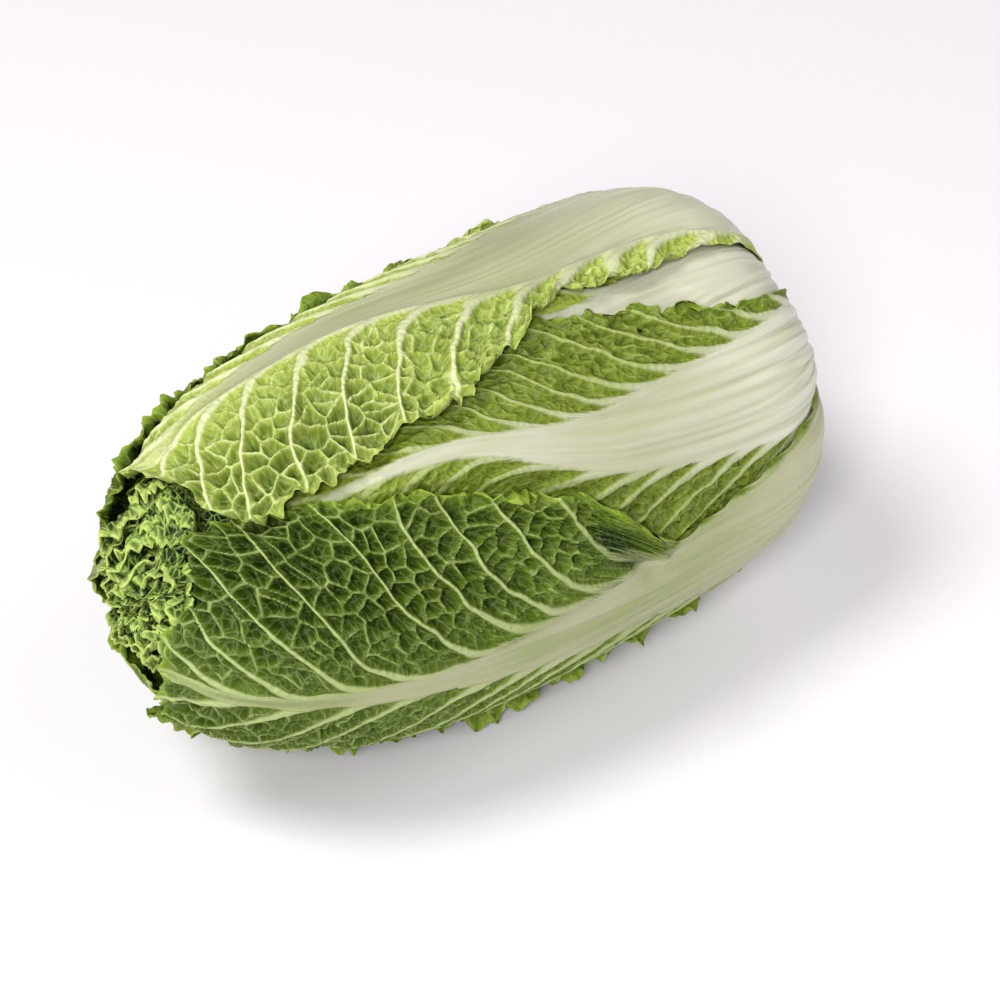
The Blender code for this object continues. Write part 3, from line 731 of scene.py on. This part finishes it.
# The heart's body is given 0.8 of the hollow mask, painted shade for an inside seen only in the gaps
# between the leaves.
HEART_MASKS = {  # of the heart's body
    "beyond": 50, "ribbed": 0, "level": 0.5, "reach": 99, "veined": 0, "white": 0, "hollow_shade": 0.8,
    "young": 0, "margin": 0, "groove": 0, "foot": 0, "netted": 0, "to_net": 9, "to_fine": 9,
}


def crown_tip(number, turn, distance, width, rise, lean):
    """One tip: points of its closed sheet, its faces and its masks."""
    up, part = grid(np.linspace(0, 1, CROWN_SIZE[1] + 1), np.linspace(-1, 1, CROWN_SIZE[0] + 1))
    seed = 500 + 13 * number
    half = 0.5 * width
    across = part * half
    lobes = 0.1 * noise(part * 2.6, number * 1.7, seed)
    lobes += 0.05 * noise(part * 6.0, number * 2.9, seed + 1)
    tall = (1 - 0.4 * np.abs(part) ** 2.5) * (1 + lobes)
    climb = -CROWN_ROOT + (rise + CROWN_ROOT) * up * tall
    flat = np.stack([across, climb], -1).reshape(-1, 2)
    rng = np.random.default_rng(seed)
    count = int(width * (rise + CROWN_ROOT) / CROWN_CELL**2)
    seeds = np.stack([rng.uniform(-half, half, count), rng.uniform(-CROWN_ROOT, rise, count)], -1)
    none, every = np.zeros(len(flat), int), np.zeros(count, int)
    to_net, _ = wall_distance(flat, none, seeds, every)
    to_net = to_net.reshape(part.shape)
    spine = np.abs(across + 0.003 * noise(up * 2, number, seed + 2))
    in_net = bell(to_net, 0.00055)
    in_spine = bell(spine, 0.0009) * (1 - up**3)
    bowl = ease(0, 0.0022, np.minimum(to_net, spine))
    to_edge = np.minimum((1 - up) * rise, (1 - np.abs(part)) * half)
    relief = 0.0005 * np.maximum(in_net, 2 * in_spine) - 0.0026 * bowl * ease(0.1, 0.5, up)
    wave = (
        0.004 * up**1.5 * noise(across / 0.012 + 5, up * 1.2, seed + 3)
        + 0.0034 * up**1.5 * noise(across / 0.005, up * 2.5, seed + 4)
        + 0.0015 * np.exp(-to_edge / 0.0045) * noise(across / 0.0034, up * 5, seed + 5)
        + 0.0024 * ease(0.72, 1.0, up)
    )
    faces = sheet_faces(*part.shape)
    around = turn + across / max(distance, 0.01) * (1 - 0.12 * up)
    oval = 1 + CROWN_OVAL * np.sin(around)
    facing = np.cos(around), np.sin(around)
    root = [c + distance * oval * t for c, t in zip(CROWN_CENTRE, facing)]
    end = HEAD_ALONG - np.hypot(root[0], root[1] - CROWN_LIFT)
    base = np.interp(end, ENVELOPE[0], ENVELOPE[1]) + 0.012
    sheets = []
    for sunk, step in ((0.0, 1), (0.0007, 2)):
        radial = distance * oval + wave + relief - sunk - lean * rise * up**1.8
        y, z = (c + radial * t for c, t in zip(CROWN_CENTRE, facing))
        sheets.append(np.stack([base - climb, y, z], -1)[::step, ::step].reshape(-1, 3))
    # Painted shade: each tip is darkened in its cells and away from its bright rim.
    hollow_shade = (0.2 + 0.8 * bowl) * ease(0.0006, 0.0035, to_edge)
    masks = {k: np.full(part.shape, float(v)) for k, v in HEART_MASKS.items()} | {
        "netted": np.ones(part.shape),
        "to_net": 1000 * np.minimum(to_net, spine * (1 + 2 * up**3)),
        "hollow_shade": hollow_shade + 0.4 * ease(0.004, 0.01, to_edge),
        "young": 0.3 * ease(0.004, 0, to_edge),
        "margin": np.exp(-to_edge / 0.0012),
    }
    return np.concatenate(sheets), faces, both_faces(masks, climb, across, 2 + number * 0.1)


def tucked(points, limit):
    """Moves points inwards, towards the head's axis, where they would stick out through the leaves."""
    x, y, z = points.T
    along = np.interp(-x, -ENVELOPE[1], ENVELOPE[0])
    z = z - np.where(x < 0, CROWN_LIFT * np.abs(x / CROWN_HALF) ** 3, 0)
    room = read_map(limit, along, np.degrees(np.arctan2(-y, z)))
    normal_r = np.interp(along, ENVELOPE[0], ENVELOPE[4])
    allowed = head_radius(along) + (room - 0.0008) / np.maximum(normal_r, 0.12)
    share = np.minimum(1, np.maximum(allowed, 0.004) / np.maximum(np.hypot(y, z), 1e-4))
    return np.stack([x, y * share, points[:, 2] - z * (1 - share)], -1)


def make_heart(ceiling, shift, material):
    """The heart's body and its crown, in one piece."""
    rows, turns = HEART_SIZE
    stations = np.linspace(INSIDE_START, HEAD_ALONG - 0.0008, rows)
    along, angle = grid(stations, np.arange(turns) * 360 / turns)
    around = np.radians(angle) * np.maximum(head_radius(along), 0.004)
    limit, tip_limit = (settled(np.minimum(ceiling - LEAF_GAP, top)) for top in (INSIDE_LIE, 0.03))
    bumps = 0.0012 * noise(along / 0.008, around / 0.008, 901)
    bumps += 0.001 * noise(along / 0.02, angle / 24, 902)
    body = place(along, angle, read_map(limit, along, angle) - 0.0022 + bumps)
    ends = [place(s, 0.0, -0.013) for s in (INSIDE_START, HEAD_ALONG)]
    points = [np.concatenate([body.reshape(-1, 3), ends])]
    quads, rims = ([faces] for faces in tube_faces(rows, turns))
    masks = [{k: np.full(rows * turns + 2, float(v)) for k, v in HEART_MASKS.items()}]
    grain = np.stack([along, around, np.zeros_like(along)], -1).reshape(-1, 3)
    masks[0]["grain"] = np.concatenate([grain, np.zeros((2, 3))])
    count, number = len(points[0]), 0
    for tips, distance, width, rise, lean, start, length in CROWN_RINGS:
        for i in range(tips):
            turn = math.tau * (start + length * i / tips) + 0.25 * math.sin(2.3 * number)
            tip, (tip_quads, tip_rim), tip_masks = crown_tip(number, turn, distance, width, rise, lean)
            # Each sheet turns its outer face away from the crown's centre.
            quads.append(tip_quads[:, ::-1] + count)
            rims.append(tip_rim[:, ::-1] + count)
            points.append(tucked(tip, tip_limit))
            masks.append(tip_masks)
            count += len(tip)
            number += 1
    joined = {k: np.concatenate([m[k] for m in masks]) for k in masks[0]}
    points = np.concatenate(points) + shift
    return make_mesh("fine_heart", points, np.concatenate(quads), np.concatenate(rims), joined, material)


STEM_SIZE = (44, 144)  # rings and turns of points
STEM_ROOT = 0.014  # how deep the piece goes into the head


def make_stem(shift, material):
    """The cut end of the stem, between the leaves' feet."""
    rings, turns = STEM_SIZE
    part, turn = grid(np.linspace(0, 1, rings + 1)[1:], np.arange(turns) * math.tau / turns)
    out = STEM_FACE * (1 + 0.012 * noise(turn * 4, 0, 951) * part)
    layer = (part + 0.1 * np.abs(np.sin(2.5 * turn + 9 * part)) * part) * 3.2
    ring = bell(layer - np.round(layer), 0.09)
    y, z = out * part * np.cos(turn), out * part * np.sin(turn)
    rough = 0.00022 * noise(y / 0.0011, z / 0.0011, 952) + 0.00035 * noise(y / 0.005, z / 0.005, 953)
    face, root = STEM_HALF + STEM_END - 0.0004, STEM_HALF - STEM_ROOT
    x = face + rough - 0.0004 * ring * part - 0.0016 * part**8
    wall = np.stack([np.full(turns, root), y[-1] * 0.97, z[-1] * 0.97], -1)
    points = [np.stack([x, y, z], -1).reshape(-1, 3), wall, [[face, 0, 0], [root, 0, 0]]]
    points = np.concatenate(points) + [0, 0, STEM_LIFT] + shift
    quads, rims = tube_faces(rings + 1, turns)
    tail = np.zeros(turns + 2)
    masks = {
        "ring": np.concatenate([(ring * part).ravel(), tail]),
        "rim": np.concatenate([(part**6).ravel(), tail + 1]),
        "grain": points - shift,
    }
    return make_mesh("fine_stem", points, quads, rims, masks, material)


# Materials.
# The deep blade colour is also the one that painted shade turns the blade to in its hollows.
LOOKS = {  # young blade, deep blade, vein, margin, rib, rib's streaks, rib near the stem
    "light": (
        (0.39, 0.49, 0.07), (0.048, 0.108, 0.007), (0.74, 0.78, 0.46), (0.48, 0.58, 0.12),
        (0.47, 0.48, 0.31), (0.39, 0.42, 0.21), (0.68, 0.67, 0.52),
    ),
    "young": (
        (0.36, 0.44, 0.05), (0.2, 0.31, 0.02), (0.54, 0.58, 0.3), (0.28, 0.42, 0.04),
        (0.62, 0.62, 0.52), (0.5, 0.51, 0.38), (0.7, 0.69, 0.57),
    ),
    "green": (
        (0.18, 0.25, 0.012), (0.014, 0.038, 0.002), (0.36, 0.44, 0.13), (0.24, 0.36, 0.025),
        (0.56, 0.565, 0.44), (0.46, 0.48, 0.31), (0.8, 0.79, 0.67),
    ),
    "deep": (
        (0.145, 0.225, 0.012), (0.01, 0.034, 0.002), (0.44, 0.53, 0.21), (0.32, 0.46, 0.045),
        (0.42, 0.43, 0.27), (0.3, 0.34, 0.14), (0.56, 0.55, 0.38),
    ),
    "crown": (
        (0.125, 0.235, 0.012), (0.007, 0.028, 0.002), (0.41, 0.56, 0.14), (0.5, 0.64, 0.15),
        (0.5, 0.5, 0.4), (0.4, 0.4, 0.3), (0.5, 0.5, 0.4),
    ),
}


class Nodes:
    """Short names for making the nodes of one material."""

    def __init__(self, name):
        self.material = bpy.data.materials.new(name)
        self.material.use_nodes = True
        self.tree = self.material.node_tree
        self.shader = self.tree.nodes["Principled BSDF"]

    def node(self, kind, inputs, **settings):
        made = self.tree.nodes.new("ShaderNode" + kind)
        for key, value in settings.items():
            setattr(made, key, value)
        for key, value in inputs.items():
            self.link(value, made.inputs[key])
        return made

    def link(self, value, socket):
        if isinstance(value, bpy.types.NodeSocket):
            self.tree.links.new(value, socket)
        elif isinstance(value, tuple) and socket.type == "RGBA":
            socket.default_value = (*value, 1)
        else:
            socket.default_value = value

    def surface(self, name, value):
        self.link(value, self.shader.inputs[name])

    def mask(self, name, output="Fac"):
        return self.node("Attribute", {}, attribute_name=name).outputs[output]

    def mix(self, share, first, second):
        return self.node("Mix", {0: share, 6: first, 7: second}, data_type="RGBA").outputs[2]

    def math(self, operation, a, b, clamp=False):
        return self.node("Math", {0: a, 1: b}, operation=operation, use_clamp=clamp).outputs[0]

    def times(self, a, b):
        return self.math("MULTIPLY", a, b)

    def plus(self, a, b, clamp=False):
        return self.math("ADD", a, b, clamp)

    def minus(self, a, b):
        return self.math("SUBTRACT", a, b)

    def noise(self, vector, scale, detail=2.0):
        return self.node("TexNoise", {"Vector": vector, "Scale": scale, "Detail": detail}).outputs["Fac"]

    def rising(self, value, low, high):
        inputs = {"Value": value, "From Min": low, "From Max": high}
        return self.node("MapRange", inputs, interpolation_type="SMOOTHSTEP").outputs["Result"]

    def falling(self, value, low, high):
        return self.minus(1.0, self.rising(value, low, high))

    def stretched(self, vector, scale):
        return self.node("VectorMath", {0: vector, 1: scale}, operation="MULTIPLY").outputs[0]

    def bump(self, height, strength, distance):
        inputs = {"Height": height, "Strength": strength, "Distance": distance}
        self.surface("Normal", self.node("Bump", inputs).outputs["Normal"])


def leaf_material(look):
    young, deep, vein, margin, pale, streak, base = LOOKS[look]
    n = Nodes("leaf_" + look)
    grain = n.mask("grain", "Vector")
    patches = n.noise(grain, 45.0, 3.0)
    fine = n.noise(grain, 420.0, 3.0)
    broad = n.noise(n.stretched(grain, (5.0, 150.0, 1.0)), 1.0)
    along = n.node("SeparateXYZ", {"Vector": grain}).outputs["X"]
    flow = n.node("CombineXYZ", {"X": n.times(n.mask("level"), 0.85), "Y": n.times(along, 12.0)})
    streaks = n.noise(flow.outputs[0], 1.0)
    off_vein = n.times(n.math("PINGPONG", n.mask("level"), 0.5), n.mask("reach"))
    on_vein = n.falling(off_vein, 0.45, 1.1)
    on_rib = n.times(n.falling(n.mask("beyond"), -0.9, 1.2), n.mask("ribbed"))
    rib = n.math("MAXIMUM", on_rib, n.times(on_vein, n.mask("white")))
    crowned = look == "crown"
    lace = n.node(
        "TexVoronoi", {"Vector": grain, "Scale": 320.0 if crowned else 270.0},
        feature="DISTANCE_TO_EDGE", voronoi_dimensions="2D",
    ).outputs["Distance"]
    thread = n.times(n.falling(lace, 0.02, 0.14 if crowned else 0.1), 0.8 if crowned else 0.2)

    # The net of veins, and how dark the blade is, with painted shade from the hollow mask in the blade's
    # sunken cells.
    on_net = n.falling(n.mask("to_net"), 0.15, 0.55)
    faded = n.rising(n.noise(grain, 110.0), 0.36, 0.62)
    on_fine = n.falling(n.mask("to_fine"), 0.1, 0.4)
    net = n.math("MAXIMUM", n.times(on_net, 0.62), n.times(on_fine, 0.3))
    net = n.times(net, n.plus(0.45, n.times(faded, 0.55)))
    net = n.math("MAXIMUM", n.times(net, n.mask("netted")), thread)
    net = n.math("MAXIMUM", net, n.times(on_vein, n.mask("veined")))
    aged = n.math("SUBTRACT", 1.0, n.times(n.mask("young"), 0.85), True)
    dark = n.times(aged, n.plus(0.12, n.times(n.mask("hollow_shade"), 1.12)))
    # On the crown's tips painted shade also darkens the middles of the fine lace cells.
    if crowned:
        dark = n.plus(dark, n.times(n.minus(n.rising(lace, 0.03, 0.32), 0.25), 1.1))
    dark = n.plus(dark, n.times(n.minus(patches, 0.5), 0.6), True)
    blade = n.mix(dark, young, deep)
    if look == "deep":
        blade = n.mix(n.times(n.rising(along, 0.18, 0.34), 0.4), blade, deep)
    blade = n.mix(n.times(net, 0.85), blade, vein)
    blade = n.mix(n.times(n.mask("margin"), 0.9 if crowned else 0.7), blade, margin)

    # The rib's white and its streaks.
    shade = n.plus(n.times(broad, 0.35), n.times(streaks, 0.65))
    blotch = n.noise(n.stretched(grain, (18.0, 55.0, 1.0)), 1.0, 3.0)
    white = n.mix(n.rising(n.plus(shade, n.minus(blotch, 0.5)), 0.3, 0.8), pale, streak)
    white = n.mix(n.rising(along, 0.18, 0.05), white, base)
    white = n.mix(n.times(n.mask("groove"), 0.55), white, (0.4, 0.43, 0.2))
    rib = n.math("MAXIMUM", rib, n.times(n.mask("foot"), 0.9))
    n.surface("Base Color", n.mix(rib, blade, white))
    rough = n.minus(0.5, n.times(on_rib, 0.18))
    rough = n.plus(rough, n.times(n.minus(fine, 0.5), 0.25), True)
    n.surface("Roughness", rough)
    n.surface("Specular IOR Level", 0.17 if look == "deep" else 0.32)
    puffed = n.rising(lace, 0.0, 0.4)
    tall = n.minus(n.times(fine, 0.35), n.times(puffed, 0.7))
    tall = n.times(tall, n.minus(1.0, rib))
    tall = n.plus(tall, n.times(shade, n.times(rib, 0.8)))
    n.bump(tall, 0.7, 0.0008)
    return n.material


def stem_material():
    n = Nodes("cut_stem")
    grain = n.mask("grain", "Vector")
    patches = n.noise(grain, 160.0, 4.0)
    fine = n.noise(grain, 900.0)
    pores = n.node("TexVoronoi", {"Vector": grain, "Scale": 720.0}, feature="F1").outputs["Distance"]
    colour = n.mix(n.rising(patches, 0.35, 0.68), (0.64, 0.61, 0.43), (0.5, 0.47, 0.27))
    colour = n.mix(n.times(n.falling(pores, 0.1, 0.42), 0.45), colour, (0.36, 0.32, 0.14))
    colour = n.mix(n.times(n.mask("ring"), 0.75), colour, (0.38, 0.4, 0.15))
    colour = n.mix(n.times(n.mask("rim"), 0.7), colour, (0.33, 0.27, 0.11))
    n.surface("Base Color", colour)
    n.surface("Roughness", n.plus(0.55, n.times(fine, 0.3)))
    n.surface("Specular IOR Level", 0.2)
    tall = n.plus(n.times(fine, 0.5), n.times(pores, 0.6))
    n.bump(tall, 0.6, 0.0005)
    return n.material


CAMERA_ANGLES = (-39.6, 38)  # azimuth and elevation, in degrees
CAMERA_DISTANCE = 1.2
CAMERA_TARGET = (0.012, -0.012, 0.075)
LAMP_TARGET = (0, 0, 0.06)
LAMPS = (  # name, place, size, power and colour
    ("key", (-1.6, 0.65, 3.03), 1.5, 70.0, (1.0, 0.985, 0.955)),
    ("side", (-2.05, -1.85, 2.15), 1.2, 82.0, (1.0, 0.99, 0.97)),
    ("butt", (1.2, -1.7, 2.8), 2.0, 22.0, (1.0, 0.99, 0.98)),
)


def aim(name, data, location, direction):
    placed = bpy.data.objects.new(name, data)
    bpy.context.scene.collection.objects.link(placed)
    placed.location = location
    placed.rotation_mode = "QUATERNION"
    placed.rotation_quaternion = direction.to_track_quat("-Z", "Y")
    return placed


def make_camera():
    camera = bpy.data.cameras.new("camera")
    camera.lens, camera.sensor_width = 112, 36
    a, e = (math.radians(angle) for angle in CAMERA_ANGLES)
    back = Vector((math.sin(a) * math.cos(e), -math.cos(a) * math.cos(e), math.sin(e)))
    location = Vector(CAMERA_TARGET) + back * CAMERA_DISTANCE
    bpy.context.scene.camera = aim("camera", camera, location, -back)


def make_studio():
    bpy.ops.mesh.primitive_plane_add(size=30, location=(0, 0, 0))
    floor = bpy.context.active_object
    floor.name = "floor"
    paper = Nodes("paper")
    paper.surface("Base Color", (0.9, 0.878, 0.925))
    paper.surface("Roughness", 0.9)
    floor.data.materials.append(paper.material)
    world = bpy.data.worlds.new("studio")
    world.use_nodes = True
    sky = world.node_tree.nodes["Background"].inputs
    sky["Color"].default_value = (1.0, 0.975, 1.02, 1)
    sky["Strength"].default_value = 0.2
    scene = bpy.context.scene
    scene.world, scene.view_settings.view_transform = world, "Standard"
    for name, location, size, power, colour in LAMPS:
        lamp = bpy.data.lights.new(name, "AREA")
        lamp.shape, lamp.size, lamp.energy, lamp.color = "DISK", size, power, colour
        aim(name, lamp, location, Vector(LAMP_TARGET) - Vector(location))


def main():
    for old in list(bpy.data.objects):
        bpy.data.objects.remove(old)
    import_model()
    low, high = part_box("stem")
    shift = np.array(
        [high.x - STEM_HALF - STEM_END, (low.y + high.y) / 2, (low.z + high.z) / 2 - STEM_LIFT]
    )
    looks = {name: leaf_material(name) for name in LOOKS}
    ceiling = np.full((MAP_ROWS, MAP_TURNS), np.inf)
    pieces = {}
    for number, leaf in enumerate(LEAVES):
        pieces[leaf.name] = make_leaf(leaf, number, ceiling, shift, looks[leaf.look])
    pieces["heart"] = make_heart(ceiling, shift, looks["crown"])
    pieces["stem"] = make_stem(shift, stem_material())
    for node, piece in pieces.items():
        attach(piece, "root")
        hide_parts(node)
    make_studio()
    make_camera()


main()
